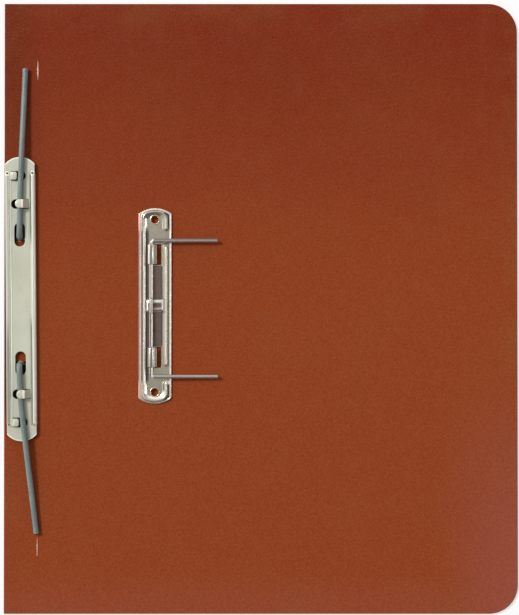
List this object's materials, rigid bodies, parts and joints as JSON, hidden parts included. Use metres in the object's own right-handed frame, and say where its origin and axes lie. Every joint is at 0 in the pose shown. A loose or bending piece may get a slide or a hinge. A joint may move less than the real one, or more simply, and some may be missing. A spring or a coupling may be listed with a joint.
{
  "type": "spring file",
  "caption": "Manilla spring file laid open: folding cover with spine, sprung wire prongs on a pressed plate, and a cover bar with flexible transfer tubes on the binding strip.",
  "frame": {"origin": "middle of the opened file's footprint, on the surface it lies on", "axes": "+Y up the file's height, +X from the binding strip towards the free edge of the back cover, +Z out of the inner side"},
  "size_m": [0.303, 0.36, 0.0084],
  "materials": {
    "manilla_board": "matte burnt-orange pressed board with a fine fibre mottle",
    "plated_plate": "bright plated pressed steel, slightly rubbed",
    "plated_wire": "bright plated round wire",
    "eyelet_metal": "bright plated hollow rivet",
    "spring_steel": "tempered spring steel, dark",
    "tinplate": "cream-grey satin tinplate",
    "plain_steel": "blackened strip steel",
    "grey_tube": "soft grey plastic tube"
  },
  "bodies": {
    "binding_strip": {"binding_strip": "manilla_board", "front_fold": "manilla_board", "cover_bar": "tinplate", "anchor_strip": "plain_steel", "upper_peg": "plain_steel", "lower_peg": "plain_steel", "upper_tube_root": "grey_tube", "lower_tube_root": "grey_tube"},
    "front_leaf": {"front_leaf": "manilla_board"},
    "spine_panel": {"spine_panel": "manilla_board"},
    "back_cover": {"back_cover": "manilla_board", "spring_plate": "plated_plate", "upper_eyelet": "eyelet_metal", "lower_eyelet": "eyelet_metal", "leaf_spring": "spring_steel"},
    "prong_wire": {"prong_wire": "plated_wire"},
    "upper_tube": {"upper_tube": "grey_tube"},
    "lower_tube": {"lower_tube": "grey_tube"}
  },
  "joints": [
    {"name": "leaf_fold", "type": "hinge", "parent": "binding_strip", "child": "front_leaf", "pos_m": [-0.15065, 0, 0.00085], "axis": [0, 1, 0], "range_deg": [0, 180], "deforming": ["front_fold"]},
    {"name": "spine_fold", "type": "hinge", "parent": "binding_strip", "child": "spine_panel", "pos_m": [-0.13019, 0, 0.0017], "axis": [0, -1, 0], "range_deg": [0, 90]},
    {"name": "back_fold", "type": "hinge", "parent": "spine_panel", "child": "back_cover", "pos_m": [-0.08169, 0, 0.0017], "axis": [0, -1, 0], "range_deg": [0, 90]},
    {"name": "prong_turn", "type": "hinge", "parent": "back_cover", "child": "prong_wire", "pos_m": [-0.06449, 0.0013, 0.0047], "axis": [0, -1, 0], "range_deg": [0, 90], "deforming": ["leaf_spring"]},
    {"name": "upper_tube_lift", "type": "hinge", "parent": "binding_strip", "child": "upper_tube", "pos_m": [-0.14165, 0.06595, 0.00585], "axis": [-1, 0, 0], "range_deg": [-75, 0]},
    {"name": "lower_tube_lift", "type": "hinge", "parent": "binding_strip", "child": "lower_tube", "pos_m": [-0.14099, -0.05513, 0.00585], "axis": [1, 0, 0], "range_deg": [-75, 0]}
  ]
}
